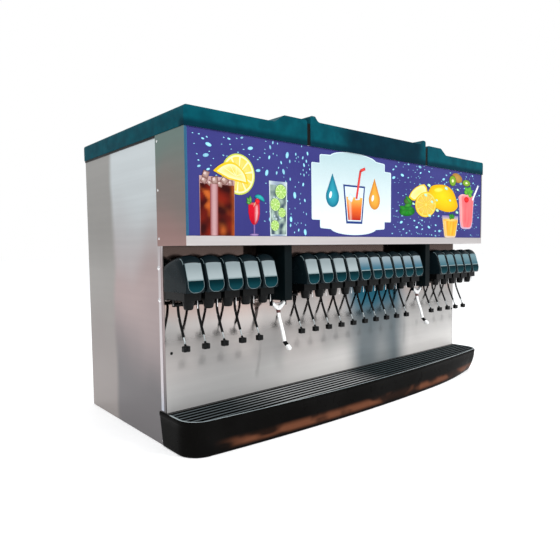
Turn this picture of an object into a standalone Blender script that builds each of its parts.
"""Counter-top fountain soda dispenser: twenty lever valves in three banks and two ice chutes.

Metres, +Z up. The customer stands at -Y, and +X is on the customer's right. The origin is on the
floor under the middle of the machine's whole box. Depths in the constants are measured from the
splash panel's front face: "reach" runs forward, towards the customer, and "depth" runs back.
"""

import math

import bmesh
import bpy
from mathutils import Vector

# Cabinet: a welded sheet-metal shell, open at the top and at the front.
CABINET_WIDTH = 1.524
CABINET_DEPTH = 0.560
CABINET_HEIGHT = 0.893
SHEET = 0.003
THIN_SHEET = 0.0016
CLEARANCE = 0.0005

# Drip tray: a bowed trough that wraps round the foot of the cabinet.
TRAY_HEIGHT = 0.100
TRAY_END_REACH = 0.141
TRAY_BOW = 0.036
TRAY_CORNER = 0.070
TRAY_SIDE_WALL = 0.005
TRAY_WING_DEPTH = 0.033
TRAY_WING_SLANT = 0.019
TRAY_LEDGE = 0.020
TRAY_RIM = 0.014
TRAY_FLOOR = 0.006
CUP_REST_THICKNESS = 0.010
CUP_REST_DROP = 0.0015
SLOT_ROWS = 9
SLOT_COLUMNS = 8
GRILLE_BAR = 0.007
GRILLE_CROSS_BAR = 0.010

# Marquee: the lit sign box that hangs out over the valves.
MARQUEE_REACH = 0.138
MARQUEE_BOTTOM = 0.579
MARQUEE_STRIP = 0.026
MARQUEE_SIDE_STRIP = 0.012
MARQUEE_TOP_STRIP = 0.005
MARQUEE_LAP = 0.022
SPLASH_TOP = 0.600

# Lids: three lift-off plastic covers.
LID_REACH = 0.141
LID_WALL = 0.004
LID_LOW_TOP = 0.941
LID_HIGH_TOP = 0.965
LID_FLANGE_TOP = 0.981
LID_OVERHANG = 0.002
SIDE_LID_INNER = 0.3285
SIDE_LID_RAMP = (0.461, 0.420)
MIDDLE_LID_HALF = 0.3145
MIDDLE_LID_FLANGE = 0.022

# Valves: one bank of five, one of ten and one of five, at an even pitch.
VALVE_PITCH = 0.065
BANKS = {
    "left": [-0.7325 + VALVE_PITCH * i for i in range(5)],
    "middle": [-0.2925 + VALVE_PITCH * i for i in range(10)],
    "right": [0.4725 + VALVE_PITCH * i for i in range(5)],
}
COVER_WIDTH = 0.058
COVER_SHOULDER = 0.0165
COVER_CROWN = 0.009
COVER_WALL = 0.0022
RAIL_REACH = 0.0175
RAIL_BOTTOM = 0.426
RAIL_TOP = 0.522
VALVE_BLOCK_HALF = 0.023
VALVE_BLOCK_BOTTOM = 0.430
VALVE_BLOCK_TOP = 0.452
VALVE_BLOCK_REACH = 0.105
VALVE_CORE_HALF = 0.020
VALVE_CORE_REACH = 0.078
VALVE_CORE_TOP = 0.512
NOZZLE_REACH = 0.088
NOZZLE_BOTTOM = 0.405
NOZZLE_TOP_RADIUS = 0.0165
NOZZLE_BOTTOM_RADIUS = 0.0115

# Valve levers: each hangs from a pin under its valve and leans out to a small pad.
LEVER_PIVOT_REACH = 0.030
LEVER_PIVOT_HEIGHT = 0.414
LEVER_PAD_REACH = 0.070
LEVER_PAD_HEIGHT = 0.293
LEVER_PAD_SIZE = (0.020, 0.013, 0.016)
LEVER_HUB_RADIUS = 0.006
LEVER_HUB_HALF = 0.011
LEVER_BAR_HALF = 0.0033
LEVER_BAR_THICKNESS = 0.0045
PIN_RADIUS = 0.0020
PIN_HOLE_RADIUS = 0.0027
EAR_THICKNESS = 0.0035

# Ice chutes: wedge-shaped ducts between the banks, each with a white push lever.
CHUTE_X = 0.3835
CHUTE_BOTTOM = 0.405
CHUTE_TOP = 0.690
CHUTE_BACK_HALF = 0.042
CHUTE_FRONT_HALF = 0.015
CHUTE_REACH = 0.108
CHUTE_WALL = 0.003
NECK_HALF = 0.032
NECK_BOTTOM = 0.612
NECK_TOP = 0.684
ICE_PIVOT_REACH = 0.056
ICE_PIVOT_HEIGHT = 0.392
ICE_HUB_RADIUS = 0.0065
ICE_YOKE_HALF = 0.0265
ICE_YOKE_ARM = 0.008
ICE_YOKE_BOTTOM = 0.364
ICE_BAR_HALF = 0.0042
ICE_BAR_END = (0.088, 0.266)
ICE_TIP = (0.113, 0.249)

# Ice hopper, cold plate, agitator and its gearmotor, under the lids.
HOPPER_X = (-0.735, 0.600)
HOPPER_DEPTHS = (0.025, 0.535)
HOPPER_BOTTOM = 0.385
HOPPER_WALL = 0.020
DECK_BOTTOM = 0.884
DECK_TOP = 0.890
COLD_PLATE_THICKNESS = 0.030
AGITATOR_HEIGHT = 0.600
AGITATOR_DEPTH = 0.280
AGITATOR_RADIUS = 0.012
AGITATOR_ARM = 0.115
AGITATOR_ARM_HALF = 0.006
AGITATOR_ARMS = 8
MOTOR_RADIUS = 0.045

# Service openings in the back.
LINE_OPENING = (0.300, 0.060, 0.130)
INLET_X = 0.560
INLET_Z = 0.110
INLET_SIZE = (0.048, 0.028)
INLET_DEPTH = 0.020

ADD = "UNION"
CUT = "DIFFERENCE"

HALF_WIDTH = CABINET_WIDTH / 2
TRAY_REACH = TRAY_END_REACH + TRAY_BOW
SPLASH_Y = (TRAY_REACH - CABINET_DEPTH) / 2
BACK_Y = SPLASH_Y + CABINET_DEPTH


def at_reach(reach):
    """World Y of a point this far in front of the splash panel."""
    return SPLASH_Y - reach


def clear_scene():
    for obj in list(bpy.data.objects):
        bpy.data.objects.remove(obj, do_unlink=True)


def make_material(name, colour, roughness, metallic=0.0):
    material = bpy.data.materials.new(name)
    material.use_nodes = True
    shader = material.node_tree.nodes["Principled BSDF"]
    shader.inputs["Base Color"].default_value = (*colour, 1.0)
    shader.inputs["Roughness"].default_value = roughness
    shader.inputs["Metallic"].default_value = metallic
    material.diffuse_color = (*colour, 1.0)
    return material


def make_materials():
    return {
        "brushed_steel": make_material("brushed_steel", (0.62, 0.60, 0.58), 0.30, 1.0),
        "galvanised": make_material("galvanised", (0.55, 0.57, 0.58), 0.45, 1.0),
        "black_plastic": make_material("black_plastic", (0.012, 0.028, 0.032), 0.28),
        "black_lever": make_material("black_lever", (0.010, 0.010, 0.011), 0.35),
        "white_plastic": make_material("white_plastic", (0.85, 0.86, 0.85), 0.35),
        "liner": make_material("liner", (0.74, 0.76, 0.77), 0.50),
        "aluminium": make_material("aluminium", (0.70, 0.71, 0.72), 0.40, 1.0),
        "sign": make_material("sign", (0.05, 0.04, 0.26), 0.20),
        "motor_grey": make_material("motor_grey", (0.10, 0.11, 0.12), 0.50),
    }


# Shapes. Each returns a closed bmesh in world metres.


def loft(rings):
    """A closed body through rings of the same number of points."""
    shape = bmesh.new()
    loops = [[shape.verts.new(point) for point in ring] for ring in rings]
    for lower, upper in zip(loops, loops[1:]):
        for i in range(len(lower)):
            j = (i + 1) % len(lower)
            shape.faces.new((lower[i], lower[j], upper[j], upper[i]))
    shape.faces.new(loops[0][::-1])
    shape.faces.new(loops[-1])
    bmesh.ops.recalc_face_normals(shape, faces=shape.faces)
    return shape


def prism(outline, start, end, axis):
    """An outline drawn across the axis, in X, Y, Z order, and extruded from start to end."""
    place = {
        "X": lambda a, b, level: (level, a, b),
        "Y": lambda a, b, level: (a, level, b),
        "Z": lambda a, b, level: (a, b, level),
    }[axis]
    return loft([[place(a, b, level) for a, b in outline] for level in (start, end)])


def block(x, y, z):
    """A rectangular block from its three ranges."""
    (x0, x1), (y0, y1), (z0, z1) = (sorted(pair) for pair in (x, y, z))
    return prism([(x0, y0), (x1, y0), (x1, y1), (x0, y1)], z0, z1, "Z")


def rod(start, end, radius, sides, end_radius=None):
    """A round bar, or a cone where end_radius is given."""
    start, end = Vector(start), Vector(end)
    turn = (end - start).to_track_quat("Z", "Y")
    rings = []
    for centre, reach in ((start, radius), (end, radius if end_radius is None else end_radius)):
        angles = [2 * math.pi * (i + 0.5) / sides for i in range(sides)]
        rings.append([centre + turn @ Vector((reach * math.cos(a), reach * math.sin(a), 0)) for a in angles])
    return loft(rings)


def rounded(corners, segments=3):
    """An outline whose corners (a, b, radius) are turned into arcs."""
    points = []
    for i, (a, b, radius) in enumerate(corners):
        here = Vector((a, b))
        if radius == 0:
            points.append(tuple(here))
            continue
        before = (Vector(corners[i - 1][:2]) - here).normalized()
        after = (Vector(corners[(i + 1) % len(corners)][:2]) - here).normalized()
        half_angle = before.angle(after) / 2
        centre = here + (before + after).normalized() * (radius / math.sin(half_angle))
        tangent = radius / math.tan(half_angle)
        first = here + before * tangent - centre
        last = here + after * tangent - centre
        for step in range(segments + 1):
            share = step / segments
            spoke = first.normalized().slerp(last.normalized(), share)
            points.append(tuple(centre + spoke * radius))
    return points


def helper(shape):
    """A temporary object for a Boolean, hidden from renders."""
    mesh = bpy.data.meshes.new("helper")
    shape.to_mesh(mesh)
    shape.free()
    obj = bpy.data.objects.new("helper", mesh)
    obj.hide_render = True
    obj.display_type = "WIRE"
    bpy.context.scene.collection.objects.link(obj)
    return obj


def worked(base, *steps):
    """The mesh of a shape after Boolean steps, each (ADD or CUT, shape)."""
    body = helper(base)
    others = []
    for operation, shape in steps:
        other = helper(shape)
        others.append(other)
        modifier = body.modifiers.new(operation.lower(), "BOOLEAN")
        modifier.operation = operation
        modifier.solver = "EXACT"
        modifier.object = other
    graph = bpy.context.evaluated_depsgraph_get()
    mesh = bpy.data.meshes.new_from_object(body.evaluated_get(graph))
    for obj in [body, *others]:
        bpy.data.objects.remove(obj, do_unlink=True)
    return mesh


def fused(shapes, cuts=()):
    """One mesh: all the shapes joined, less all the cuts."""
    first, *others = shapes
    return worked(first, *[(ADD, shape) for shape in others], *[(CUT, shape) for shape in cuts])


def add_part(name, mesh, material, origin=(0, 0, 0), shift_mesh=True):
    """An object whose mesh is in world metres, or already about its origin."""
    if shift_mesh:
        for vertex in mesh.vertices:
            vertex.co -= Vector(origin)
    if not mesh.materials:
        mesh.materials.append(material)
    obj = bpy.data.objects.new(name, mesh)
    obj.location = origin
    obj.parent = bpy.data.objects["dispenser"]
    bpy.context.scene.collection.objects.link(obj)
    return obj


def smooth(mesh, degrees=35):
    mesh.shade_smooth()
    mesh.set_sharp_from_angle(angle=math.radians(degrees))


# Cabinet and panels.


def make_cabinet_shell(materials):
    """Bottom, sides and back in one, with a line opening and a socket recess in the back."""
    outer = block((-HALF_WIDTH, HALF_WIDTH), (SPLASH_Y, BACK_Y), (0, CABINET_HEIGHT))
    inner_half = HALF_WIDTH - SHEET
    inside = block(
        (-inner_half, inner_half),
        (SPLASH_Y - SHEET, BACK_Y - SHEET),
        (SHEET, CABINET_HEIGHT + SHEET),
    )
    width, bottom, top = LINE_OPENING
    lines = block((-width / 2, width / 2), (BACK_Y - 3 * SHEET, BACK_Y + SHEET), (bottom, top))
    half_x, half_z = (size / 2 for size in INLET_SIZE)
    inlet = block(
        (INLET_X - half_x - SHEET, INLET_X + half_x + SHEET),
        (BACK_Y - INLET_DEPTH - SHEET, BACK_Y - SHEET / 2),
        (INLET_Z - half_z - SHEET, INLET_Z + half_z + SHEET),
    )
    socket = block(
        (INLET_X - half_x, INLET_X + half_x),
        (BACK_Y - INLET_DEPTH, BACK_Y + SHEET),
        (INLET_Z - half_z, INLET_Z + half_z),
    )
    mesh = worked(outer, (CUT, inside), (CUT, lines), (ADD, inlet), (CUT, socket))
    add_part("cabinet_shell", mesh, materials["brushed_steel"])


def make_splash_panel(materials):
    half = HALF_WIDTH - SHEET - CLEARANCE
    low = SHEET + CLEARANCE
    panel = block((-half, half), (SPLASH_Y, SPLASH_Y + THIN_SHEET), (low, SPLASH_TOP))
    add_part("splash_panel", fused([panel]), materials["brushed_steel"])


def chute_outline(grow):
    """Plan of a chute about its own middle, grown by this much all round."""
    back = SPLASH_Y - CLEARANCE + grow
    front = at_reach(CHUTE_REACH) - grow
    return [
        (-CHUTE_BACK_HALF - grow, back),
        (CHUTE_BACK_HALF + grow, back),
        (CHUTE_FRONT_HALF + grow, front),
        (-CHUTE_FRONT_HALF - grow, front),
    ]


def make_marquee_housing(materials):
    """Cheeks, bottom and front frame; the back is open and the middle lid closes the top."""
    half = HALF_WIDTH + THIN_SHEET + CLEARANCE
    lap_half = HALF_WIDTH + CLEARANCE
    front = at_reach(MARQUEE_REACH)
    outer = block((-half, half), (front, SPLASH_Y + MARQUEE_LAP), (MARQUEE_BOTTOM, CABINET_HEIGHT))
    inside = block(
        (-lap_half, lap_half),
        (front + THIN_SHEET, SPLASH_Y + 2 * MARQUEE_LAP),
        (MARQUEE_BOTTOM + THIN_SHEET, CABINET_HEIGHT + SHEET),
    )
    cabinet = block(
        (-lap_half, lap_half),
        (SPLASH_Y - CLEARANCE, SPLASH_Y + 2 * MARQUEE_LAP),
        (MARQUEE_BOTTOM - SHEET, CABINET_HEIGHT + SHEET),
    )
    window_half = HALF_WIDTH - MARQUEE_SIDE_STRIP
    window = block(
        (-window_half, window_half),
        (front - SHEET, front + 2 * THIN_SHEET),
        (MARQUEE_BOTTOM + MARQUEE_STRIP, CABINET_HEIGHT - MARQUEE_TOP_STRIP),
    )
    cuts = [inside, cabinet, window]
    for centre in (-CHUTE_X, CHUTE_X):
        outline = [(centre + x, y) for x, y in chute_outline(2 * CLEARANCE)]
        cuts.append(prism(outline, MARQUEE_BOTTOM - SHEET, MARQUEE_BOTTOM + 2 * SHEET, "Z"))
    add_part("marquee_housing", fused([outer], cuts), materials["brushed_steel"])


def make_marquee_panel(materials):
    """The printed panel, held behind the housing's front frame."""
    half = HALF_WIDTH - CLEARANCE
    front = at_reach(MARQUEE_REACH) + THIN_SHEET + CLEARANCE
    panel = block(
        (-half, half),
        (front, front + SHEET),
        (MARQUEE_BOTTOM + THIN_SHEET + CLEARANCE, CABINET_HEIGHT - CLEARANCE),
    )
    add_part("marquee_panel", fused([panel]), materials["sign"])


# Lids.


def hollow_lid(outline, inner_outline):
    """A lid drawn from the front and run back, hollow from below."""
    front = at_reach(LID_REACH)
    shell = prism(outline, front, BACK_Y, "Y")
    hollow = prism(inner_outline, front + LID_WALL, BACK_Y - LID_WALL, "Y")
    mesh = fused([shell], [hollow])
    smooth(mesh)
    return mesh


def side_lid_outline(side, inset):
    """The outline of a side lid: low outside, then a ramp up to its inner end."""
    bottom = CABINET_HEIGHT + CLEARANCE - 2 * inset
    outside = HALF_WIDTH + LID_OVERHANG - inset
    inner_end = SIDE_LID_INNER + inset
    ramp_foot, ramp_head = SIDE_LID_RAMP
    radius = 0.009 - inset
    corners = [
        (outside, bottom, 0),
        (outside, LID_LOW_TOP - inset, radius),
        (ramp_foot, LID_LOW_TOP - inset, 0.010),
        (ramp_head, LID_HIGH_TOP - inset, 0.010),
        (inner_end, LID_HIGH_TOP - inset, radius),
        (inner_end, bottom, 0),
    ]
    return [(side * x, z) for x, z in rounded(corners)]


def middle_lid_outline():
    """The outline of the middle lid: a raised rib and a resting tab at each end."""
    bottom = CABINET_HEIGHT + CLEARANCE
    skirt = bottom + 0.005
    rib = MIDDLE_LID_HALF - MIDDLE_LID_FLANGE
    right = [
        (rib - 0.004, LID_HIGH_TOP, 0.006),
        (rib, LID_FLANGE_TOP, 0.006),
        (MIDDLE_LID_HALF, LID_FLANGE_TOP, 0.006),
        (MIDDLE_LID_HALF, bottom, 0),
        (rib - 0.008, bottom, 0),
        (rib - 0.010, skirt, 0),
    ]
    left = [(-x, z, radius) for x, z, radius in reversed(right)]
    return rounded(right + left)


def make_lids(materials):
    for name, side in (("lid_left", -1), ("lid_right", 1)):
        mesh = hollow_lid(side_lid_outline(side, 0), side_lid_outline(side, LID_WALL))
        middle = side * (HALF_WIDTH + SIDE_LID_INNER) / 2
        add_part(name, mesh, materials["black_plastic"], (middle, 0, CABINET_HEIGHT))
    inner_half = MIDDLE_LID_HALF - LID_WALL
    below = CABINET_HEIGHT - LID_WALL
    inner_top = LID_HIGH_TOP - LID_WALL
    inner = [(-inner_half, below), (inner_half, below), (inner_half, inner_top), (-inner_half, inner_top)]
    mesh = hollow_lid(middle_lid_outline(), inner)
    add_part("lid_middle", mesh, materials["black_plastic"], (0, 0, CABINET_HEIGHT))


# Drip tray and cup rest.


def tray_front_reach(x, inset):
    """How far forward the bowed front runs at this X."""
    flat_half = HALF_WIDTH + TRAY_SIDE_WALL - TRAY_CORNER
    share = min(abs(x) / flat_half, 1.0)
    return TRAY_END_REACH + TRAY_BOW * (1 - share**2) - inset


def tray_ring(inset, back_depth, height, bow_steps=10, corner_steps=5):
    """The tray's plan at one height, drawn in by inset and cut off at back_depth."""
    half = HALF_WIDTH + TRAY_SIDE_WALL
    radius = TRAY_CORNER - inset
    flat_half = half - TRAY_CORNER
    right = [(half - inset, back_depth)]
    for step in range(corner_steps + 1):
        turn = math.pi / 2 * step / corner_steps
        x = flat_half + radius * math.cos(turn)
        right.append((x, TRAY_CORNER - TRAY_END_REACH - radius * math.sin(turn)))
    bow = []
    for step in range(1, bow_steps):
        x = flat_half * (1 - 2 * step / bow_steps)
        bow.append((x, -tray_front_reach(x, inset)))
    left = [(-x, depth) for x, depth in reversed(right)]
    return [(x, SPLASH_Y + depth, height) for x, depth in right + bow + left]


def wing_back(height):
    """World Y of the wings' slanting back edge at this height."""
    return SPLASH_Y + TRAY_WING_DEPTH - TRAY_WING_SLANT * (1 - height / TRAY_HEIGHT)


def make_drip_tray(materials):
    """A trough with a rolled foot and two wings that run back beside the cabinet."""
    levels = [(0.016, 0), (0.006, 0.005), (0, 0.018), (0, TRAY_HEIGHT - 0.005), (0.003, TRAY_HEIGHT)]
    outer = loft([tray_ring(inset, TRAY_WING_DEPTH, height) for inset, height in levels])
    below, above = -TRAY_FLOOR, TRAY_HEIGHT + TRAY_FLOOR
    behind = SPLASH_Y + 2 * TRAY_WING_DEPTH
    cabinet_half = HALF_WIDTH + CLEARANCE
    cabinet = block(
        (-cabinet_half, cabinet_half),
        (SPLASH_Y - CLEARANCE, behind),
        (below, above),
    )
    slant = prism(
        [(wing_back(below), below), (behind, below), (behind, above), (wing_back(above), above)],
        -CABINET_WIDTH,
        CABINET_WIDTH,
        "X",
    )
    rest_seat = TRAY_HEIGHT - CUP_REST_DROP - CUP_REST_THICKNESS - CLEARANCE
    trough_levels = [(TRAY_RIM + 0.012, TRAY_FLOOR), (TRAY_RIM + 0.002, 0.024), (TRAY_RIM, TRAY_HEIGHT)]
    trough = loft([tray_ring(inset, -TRAY_LEDGE, height) for inset, height in trough_levels])
    seat_inset = TRAY_RIM - 0.006
    seat_levels = (rest_seat, TRAY_HEIGHT + TRAY_FLOOR)
    seat = loft([tray_ring(seat_inset, 0.006 - TRAY_LEDGE, height) for height in seat_levels])
    mesh = fused([outer], [cabinet, slant, trough, seat])
    smooth(mesh)
    add_part("drip_tray", mesh, materials["black_plastic"])


def grille_slots(bottom, top):
    """The slots between the bars, each row as long as the bowed front allows."""
    flat_half = HALF_WIDTH + TRAY_SIDE_WALL - TRAY_CORNER
    back = TRAY_LEDGE - 0.006 + CLEARANCE + 2 * GRILLE_BAR
    pitch = (TRAY_REACH - TRAY_RIM - back) / SLOT_ROWS
    for row in range(SLOT_ROWS):
        near = back + pitch * row
        far = near + pitch - GRILLE_BAR
        bow_left = far + TRAY_RIM + GRILLE_BAR - TRAY_END_REACH
        row_half = flat_half + GRILLE_BAR
        if bow_left > 0:
            row_half = flat_half * math.sqrt(max(1 - bow_left / TRAY_BOW, 0))
        span = 2 * (flat_half + GRILLE_BAR) / SLOT_COLUMNS
        for column in range(SLOT_COLUMNS):
            start = -flat_half - GRILLE_BAR + span * column + GRILLE_CROSS_BAR / 2
            end = start + span - GRILLE_CROSS_BAR
            start, end = max(start, -row_half), min(end, row_half)
            if end - start > 2 * GRILLE_CROSS_BAR:
                yield block((start, end), (at_reach(far), at_reach(near)), (bottom, top))


def make_cup_rest(materials):
    """The grille that cups stand on, lifted out by hand for cleaning."""
    top = TRAY_HEIGHT - CUP_REST_DROP
    bottom = top - CUP_REST_THICKNESS
    inset = TRAY_RIM - 0.006 + CLEARANCE
    plate = loft([tray_ring(inset, 0.006 - TRAY_LEDGE - CLEARANCE, height) for height in (bottom, top)])
    slots = grille_slots(bottom - GRILLE_BAR, top + GRILLE_BAR)
    mesh = fused([plate], slots)
    add_part("cup_rest", mesh, materials["black_plastic"], (0, SPLASH_Y, bottom))


# Valves.


def make_manifold(name, centres, materials):
    """A mounting rail with its valve bodies, nozzles and the pins that the levers hang on."""
    rail_y = (SPLASH_Y - CLEARANCE, at_reach(RAIL_REACH))
    end = COVER_WIDTH / 2
    shapes = [block((centres[0] - end, centres[-1] + end), rail_y, (RAIL_BOTTOM, RAIL_TOP))]
    inside_rail = at_reach(RAIL_REACH / 2)
    pivot_y = at_reach(LEVER_PIVOT_REACH)
    for centre in centres:
        shapes.append(
            block(
                (centre - VALVE_BLOCK_HALF, centre + VALVE_BLOCK_HALF),
                (inside_rail, at_reach(VALVE_BLOCK_REACH)),
                (VALVE_BLOCK_BOTTOM, VALVE_BLOCK_TOP),
            )
        )
        shapes.append(
            block(
                (centre - VALVE_CORE_HALF, centre + VALVE_CORE_HALF),
                (inside_rail, at_reach(VALVE_CORE_REACH)),
                (VALVE_BLOCK_TOP - SHEET, VALVE_CORE_TOP),
            )
        )
        nozzle_y = at_reach(NOZZLE_REACH)
        shapes.append(
            rod(
                (centre, nozzle_y, VALVE_BLOCK_BOTTOM + SHEET),
                (centre, nozzle_y, NOZZLE_BOTTOM),
                NOZZLE_TOP_RADIUS,
                10,
                NOZZLE_BOTTOM_RADIUS,
            )
        )
        for side in (-1, 1):
            inner = centre + side * (LEVER_HUB_HALF + CLEARANCE)
            shapes.append(
                block(
                    (inner, inner + side * EAR_THICKNESS),
                    (pivot_y - LEVER_HUB_RADIUS, pivot_y + LEVER_HUB_RADIUS),
                    (LEVER_PIVOT_HEIGHT - LEVER_HUB_RADIUS, VALVE_BLOCK_BOTTOM + SHEET),
                )
            )
        reach = LEVER_HUB_HALF + EAR_THICKNESS / 2
        shapes.append(
            rod(
                (centre - reach, pivot_y, LEVER_PIVOT_HEIGHT),
                (centre + reach, pivot_y, LEVER_PIVOT_HEIGHT),
                PIN_RADIUS,
                6,
            )
        )
    add_part(f"valve_manifold_{name}", fused(shapes), materials["black_plastic"])


def cover_mesh():
    """A valve's hood about its own middle: crowned on top, open at the back and below."""
    edge_profile = [
        (-RAIL_REACH - CLEARANCE, VALVE_BLOCK_TOP + CLEARANCE, 0),
        (-RAIL_REACH - CLEARANCE, 0.527, 1),
        (-0.065, 0.542, 1),
        (-0.103, 0.546, 1),
        (-0.124, 0.529, 0.4),
        (-0.140, 0.478, 0),
        (-0.136, VALVE_BLOCK_TOP + CLEARANCE, 0),
    ]
    half = COVER_WIDTH / 2
    rings = []
    for x in (-half, -COVER_SHOULDER, COVER_SHOULDER, half):
        crown = COVER_CROWN * (1 - (x / half) ** 2)
        rings.append([(x, y, z + crown * share) for y, z, share in edge_profile])
    outer = loft(rings)
    inner_half = half - COVER_WALL
    inner_rings = []
    for x in (-inner_half, -COVER_SHOULDER, COVER_SHOULDER, inner_half):
        crown = COVER_CROWN * (1 - (x / half) ** 2) - COVER_WALL
        ring = [
            (0, VALVE_BLOCK_TOP - SHEET),
            (0, 0.527 + crown),
            (-0.065, 0.542 + crown),
            (-0.102, 0.546 + crown),
            (-0.1215, 0.529 + 0.4 * crown - COVER_WALL),
            (-0.1375, 0.478),
            (-0.1335, VALVE_BLOCK_TOP - SHEET),
        ]
        inner_rings.append([(x, y, z) for y, z in ring])
    mesh = fused([outer], [loft(inner_rings)])
    smooth(mesh, 40)
    return mesh


def lever_mesh():
    """A valve's lever about its hinge axis, which runs along X."""
    forward = LEVER_PIVOT_REACH - LEVER_PAD_REACH
    down = LEVER_PAD_HEIGHT - LEVER_PIVOT_HEIGHT
    hub = rod((-LEVER_HUB_HALF, 0, 0), (LEVER_HUB_HALF, 0, 0), LEVER_HUB_RADIUS, 8)
    thick = LEVER_BAR_THICKNESS / 2
    bar = prism(
        [(-thick, 0), (thick, 0), (forward + thick, down), (forward - thick, down)],
        -LEVER_BAR_HALF,
        LEVER_BAR_HALF,
        "X",
    )
    half_x, half_y, half_z = (size / 2 for size in LEVER_PAD_SIZE)
    pad = prism(
        rounded(
            [
                (-half_x, down - half_z, 0.002),
                (half_x, down - half_z, 0.002),
                (half_x, down + half_z, 0.002),
                (-half_x, down + half_z, 0.002),
            ],
            1,
        ),
        forward - half_y,
        forward + half_y,
        "Y",
    )
    hole_half = LEVER_HUB_HALF + SHEET
    hole = rod((-hole_half, 0, 0), (hole_half, 0, 0), PIN_HOLE_RADIUS, 8)
    mesh = fused([hub, bar, pad], [hole])
    smooth(mesh)
    return mesh


def make_valves(materials):
    cover = cover_mesh()
    lever = lever_mesh()
    number = 0
    for bank, centres in BANKS.items():
        make_manifold(bank, centres, materials)
        for centre in centres:
            number += 1
            place = (centre, SPLASH_Y, 0)
            add_part(f"valve_cover_{number:02d}", cover, materials["black_plastic"], place, False)
            pivot = (centre, at_reach(LEVER_PIVOT_REACH), LEVER_PIVOT_HEIGHT)
            add_part(f"valve_lever_{number:02d}", lever, materials["black_lever"], pivot, False)


# Ice side.


def make_ice_chute(name, centre, materials):
    """A wedge-shaped duct open below, fed through a neck at the back of the marquee."""
    outer = prism([(centre + x, y) for x, y in chute_outline(0)], CHUTE_BOTTOM, CHUTE_TOP, "Z")
    duct = prism(
        [(centre + x, y) for x, y in chute_outline(-CHUTE_WALL)],
        CHUTE_BOTTOM - CHUTE_WALL,
        CHUTE_TOP - CHUTE_WALL,
        "Z",
    )
    neck_end = SPLASH_Y + HOPPER_DEPTHS[0] - CLEARANCE
    neck = block(
        (centre - NECK_HALF, centre + NECK_HALF),
        (SPLASH_Y - 2 * CHUTE_WALL, neck_end),
        (NECK_BOTTOM, NECK_TOP),
    )
    passage = block(
        (centre - NECK_HALF + CHUTE_WALL, centre + NECK_HALF - CHUTE_WALL),
        (SPLASH_Y - 4 * CHUTE_WALL, neck_end + CHUTE_WALL),
        (NECK_BOTTOM + CHUTE_WALL, NECK_TOP - CHUTE_WALL),
    )
    pivot_y = at_reach(ICE_PIVOT_REACH)
    ears = []
    for side in (-1, 1):
        inner = centre + side * (ICE_YOKE_HALF + CLEARANCE)
        ears.append(
            block(
                (inner, inner + side * EAR_THICKNESS),
                (pivot_y - ICE_HUB_RADIUS, pivot_y + ICE_HUB_RADIUS),
                (ICE_PIVOT_HEIGHT - ICE_HUB_RADIUS, CHUTE_BOTTOM + CHUTE_WALL),
            )
        )
    reach = ICE_YOKE_HALF + EAR_THICKNESS / 2
    pin = rod(
        (centre - reach, pivot_y, ICE_PIVOT_HEIGHT),
        (centre + reach, pivot_y, ICE_PIVOT_HEIGHT),
        PIN_RADIUS,
        6,
    )
    steps = [(ADD, neck), (CUT, duct), (CUT, passage)]
    steps += [(ADD, ear) for ear in ears] + [(ADD, pin)]
    add_part(f"ice_chute_{name}", worked(outer, *steps), materials["black_plastic"])


def ice_lever_mesh():
    """A forked yoke about its hinge axis, with a long bar and a turned-out tip."""
    apex = ICE_YOKE_BOTTOM - ICE_PIVOT_HEIGHT
    thick = 0.005
    arm = ICE_YOKE_ARM
    yoke = prism(
        [
            (-ICE_YOKE_HALF, 0),
            (-ICE_YOKE_HALF + arm, 0),
            (0, apex + arm),
            (ICE_YOKE_HALF - arm, 0),
            (ICE_YOKE_HALF, 0),
            (ICE_BAR_HALF, apex - 0.002),
            (-ICE_BAR_HALF, apex - 0.002),
        ],
        -thick,
        thick,
        "Y",
    )
    end_y, end_z = ICE_PIVOT_REACH - ICE_BAR_END[0], ICE_BAR_END[1] - ICE_PIVOT_HEIGHT
    tip_y, tip_z = ICE_PIVOT_REACH - ICE_TIP[0], ICE_TIP[1] - ICE_PIVOT_HEIGHT
    half_bar = 0.003
    bar = prism(
        [
            (half_bar, apex + arm / 2),
            (-half_bar, apex + arm / 2),
            (end_y - half_bar, end_z),
            (tip_y, tip_z + half_bar),
            (tip_y, tip_z - half_bar),
            (end_y + half_bar, end_z - half_bar),
        ],
        -ICE_BAR_HALF,
        ICE_BAR_HALF,
        "X",
    )
    hubs = []
    for side in (-1, 1):
        outside = side * ICE_YOKE_HALF
        hubs.append(rod((outside, 0, 0), (outside - side * arm, 0, 0), ICE_HUB_RADIUS, 8))
    hole_half = ICE_YOKE_HALF + SHEET
    hole = rod((-hole_half, 0, 0), (hole_half, 0, 0), PIN_HOLE_RADIUS, 8)
    mesh = fused([yoke, bar, *hubs], [hole])
    smooth(mesh)
    return mesh


def make_ice_side(materials):
    lever = ice_lever_mesh()
    for name, side in (("left", -1), ("right", 1)):
        centre = side * CHUTE_X
        make_ice_chute(name, centre, materials)
        pivot = (centre, at_reach(ICE_PIVOT_REACH), ICE_PIVOT_HEIGHT)
        add_part(f"ice_lever_{name}", lever, materials["white_plastic"], pivot, False)


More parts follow.
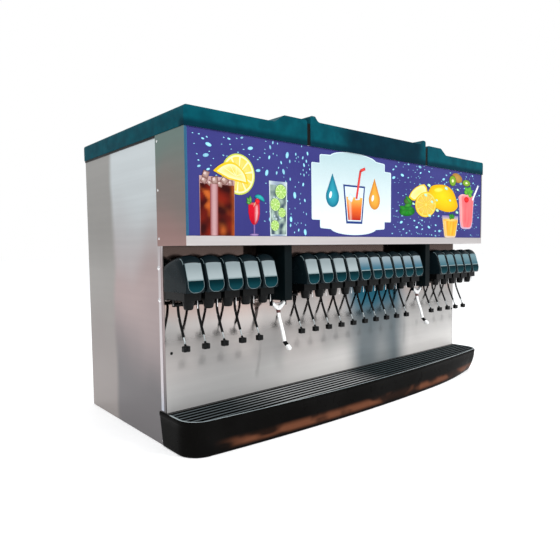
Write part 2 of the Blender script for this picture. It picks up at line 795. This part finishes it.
def make_ice_hopper(materials):
    """An insulated tub hung from a deck, with an outlet for each chute in its front wall."""
    near, far = (SPLASH_Y + depth for depth in HOPPER_DEPTHS)
    left, right = HOPPER_X
    tub = block((left, right), (near, far), (HOPPER_BOTTOM, DECK_TOP - SHEET))
    deck_half = HALF_WIDTH - SHEET - CLEARANCE
    deck = block(
        (-deck_half, deck_half),
        (near + SHEET, BACK_Y - SHEET - CLEARANCE),
        (DECK_BOTTOM, DECK_TOP),
    )
    inside = block(
        (left + HOPPER_WALL, right - HOPPER_WALL),
        (near + HOPPER_WALL, far - HOPPER_WALL),
        (HOPPER_BOTTOM + HOPPER_WALL, DECK_TOP + SHEET),
    )
    axis_y = SPLASH_Y + AGITATOR_DEPTH
    bearing = rod(
        (left + HOPPER_WALL / 2, axis_y, AGITATOR_HEIGHT),
        (right + SHEET, axis_y, AGITATOR_HEIGHT),
        AGITATOR_RADIUS + CLEARANCE,
        16,
    )
    outlet_half = NECK_HALF - CHUTE_WALL
    outlets = [
        block(
            (centre - outlet_half, centre + outlet_half),
            (near - SHEET, near + HOPPER_WALL + SHEET),
            (NECK_BOTTOM + CHUTE_WALL, NECK_TOP - CHUTE_WALL),
        )
        for centre in (-CHUTE_X, CHUTE_X)
    ]
    add_part("ice_hopper", fused([tub, deck], [inside, bearing, *outlets]), materials["liner"])


def make_cold_plate(materials):
    """The aluminium block at the bottom of the ice that chills the drink lines cast inside it."""
    near, far = (SPLASH_Y + depth for depth in HOPPER_DEPTHS)
    left, right = HOPPER_X
    room = HOPPER_WALL + CLEARANCE
    floor = HOPPER_BOTTOM + room
    plate = block(
        (left + room, right - room),
        (near + room, far - room),
        (floor, floor + COLD_PLATE_THICKNESS),
    )
    add_part("cold_plate", fused([plate]), materials["aluminium"])


def make_agitator(materials):
    """A shaft along the hopper with crossed arms that keep the ice loose."""
    axis_y = SPLASH_Y + AGITATOR_DEPTH
    left, right = HOPPER_X
    start = left + HOPPER_WALL / 2 + CLEARANCE
    end = right + 0.020
    shapes = [rod((start, axis_y, AGITATOR_HEIGHT), (end, axis_y, AGITATOR_HEIGHT), AGITATOR_RADIUS, 12)]
    first = left + 3 * HOPPER_WALL
    spacing = (right - left - 6 * HOPPER_WALL) / (AGITATOR_ARMS - 1)
    for i in range(AGITATOR_ARMS):
        x = first + spacing * i
        across = (x - AGITATOR_ARM_HALF, x + AGITATOR_ARM_HALF)
        thin = (-AGITATOR_ARM_HALF, AGITATOR_ARM_HALF)
        long = (-AGITATOR_ARM, AGITATOR_ARM)
        y, z = (thin, long) if i % 2 else (long, thin)
        shapes.append(
            block(
                across,
                (axis_y + y[0], axis_y + y[1]),
                (AGITATOR_HEIGHT + z[0], AGITATOR_HEIGHT + z[1]),
            )
        )
    mesh = fused(shapes)
    add_part("agitator", mesh, materials["galvanised"], (0, axis_y, AGITATOR_HEIGHT))


def make_gearmotor(materials):
    """Gearbox and motor on the hopper's right end, with a socket for the agitator's shaft."""
    axis_y = SPLASH_Y + AGITATOR_DEPTH
    face = HOPPER_X[1] + CLEARANCE
    gearbox_end = face + 0.060
    gearbox = block(
        (face, gearbox_end),
        (axis_y - 0.050, axis_y + 0.050),
        (AGITATOR_HEIGHT - 0.060, AGITATOR_HEIGHT + 0.060),
    )
    motor = rod(
        (gearbox_end - SHEET, axis_y, AGITATOR_HEIGHT),
        (gearbox_end + 0.080, axis_y, AGITATOR_HEIGHT),
        MOTOR_RADIUS,
        16,
    )
    socket = rod(
        (face - SHEET, axis_y, AGITATOR_HEIGHT),
        (face + 0.024, axis_y, AGITATOR_HEIGHT),
        AGITATOR_RADIUS + CLEARANCE,
        16,
    )
    add_part("gearmotor", fused([gearbox, motor], [socket]), materials["motor_grey"])


def main():
    clear_scene()
    frame = bpy.data.objects.new("dispenser", None)
    bpy.context.scene.collection.objects.link(frame)
    materials = make_materials()
    make_cabinet_shell(materials)
    make_splash_panel(materials)
    make_marquee_housing(materials)
    make_marquee_panel(materials)
    make_lids(materials)
    make_drip_tray(materials)
    make_cup_rest(materials)
    make_valves(materials)
    make_ice_side(materials)
    make_ice_hopper(materials)
    make_cold_plate(materials)
    make_agitator(materials)
    make_gearmotor(materials)


main()
